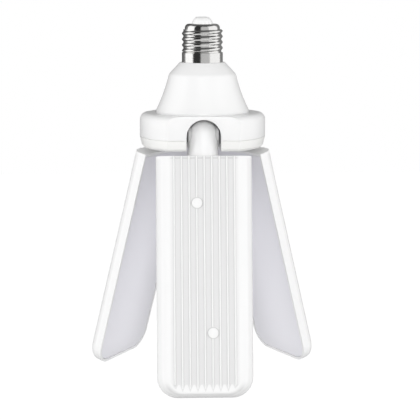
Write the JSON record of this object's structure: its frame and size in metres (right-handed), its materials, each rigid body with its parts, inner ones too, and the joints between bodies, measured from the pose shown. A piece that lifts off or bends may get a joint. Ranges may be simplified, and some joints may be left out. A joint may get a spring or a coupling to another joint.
{
  "type": "folding led garage ceiling lamp",
  "caption": "Screw-cap ceiling lamp: a white bell holds the driver, and light leaves fold out from a round hub on friction hinges to aim the light.",
  "frame": {"origin": "on the lamp's axis at the lower rim of the screw shell, where it stands on the bell", "axes": "+Z along the axis from the hub to the centre contact, so the leaves hang towards -Z; -Y towards the front leaf's side, +X to the right of that leaf seen from outside"},
  "size_m": [0.1488, 0.1248, 0.2336],
  "materials": {
    "contact_metal": "satin",
    "insulator": "gloss",
    "nickel_shell": "polished",
    "white_gloss": "gloss",
    "steel": "satin",
    "board_green": "satin",
    "capacitor_sleeve": "satin",
    "ferrite_tape": "satin",
    "black_moulding": "matte",
    "resistor_green": "gloss",
    "lead_red": "satin",
    "lead_white": "satin",
    "white_coat": "satin",
    "board_white": "satin",
    "led_yellow": "satin",
    "diffuser_frost": "matte"
  },
  "bodies": {
    "hub": {"centre_contact": "contact_metal", "cap_insulator": "insulator", "screw_shell": "nickel_shell", "bell_housing": "white_gloss", "bell_screws": "steel", "hub_upper": "white_gloss", "hub_cover": "white_gloss", "cover_screws": "steel", "driver_board": "board_green", "driver_screws": "steel", "smoothing_capacitor": "capacitor_sleeve", "driver_transformer": "ferrite_tape", "bridge_rectifier": "black_moulding", "driver_chip": "black_moulding", "fuse_resistor": "resistor_green", "supply_leads": "lead_red", "output_leads": "lead_white", "front_pivots": "steel", "front_washers": "steel", "right_pivots": "steel", "right_washers": "steel", "left_pivots": "steel", "left_washers": "steel"},
    "front_leaf": {"front_arm": "white_gloss", "front_arm_screws": "steel", "front_housing": "white_coat", "front_led_board": "board_white", "front_leds": "led_yellow", "front_board_screws": "steel", "front_lead": "lead_white", "front_diffuser": "diffuser_frost"},
    "right_leaf": {"right_arm": "white_gloss", "right_arm_screws": "steel", "right_housing": "white_coat", "right_led_board": "board_white", "right_leds": "led_yellow", "right_board_screws": "steel", "right_lead": "lead_white", "right_diffuser": "diffuser_frost"},
    "left_leaf": {"left_arm": "white_gloss", "left_arm_screws": "steel", "left_housing": "white_coat", "left_led_board": "board_white", "left_leds": "led_yellow", "left_board_screws": "steel", "left_lead": "lead_white", "left_diffuser": "diffuser_frost"}
  },
  "joints": [
    {"name": "front_leaf_hinge", "type": "hinge", "parent": "hub", "child": "front_leaf", "pos_m": [0, -0.0209, -0.0447], "axis": [-1, 0, 0], "range_deg": [-12.4, 77.6]},
    {"name": "right_leaf_hinge", "type": "hinge", "parent": "hub", "child": "right_leaf", "pos_m": [0.0181, 0.01045, -0.0447], "axis": [0.5, -0.866, 0], "range_deg": [-15.2, 74.8]},
    {"name": "left_leaf_hinge", "type": "hinge", "parent": "hub", "child": "left_leaf", "pos_m": [-0.0181, 0.01045, -0.0447], "axis": [0.5, 0.866, 0], "range_deg": [-15.2, 74.8]}
  ]
}
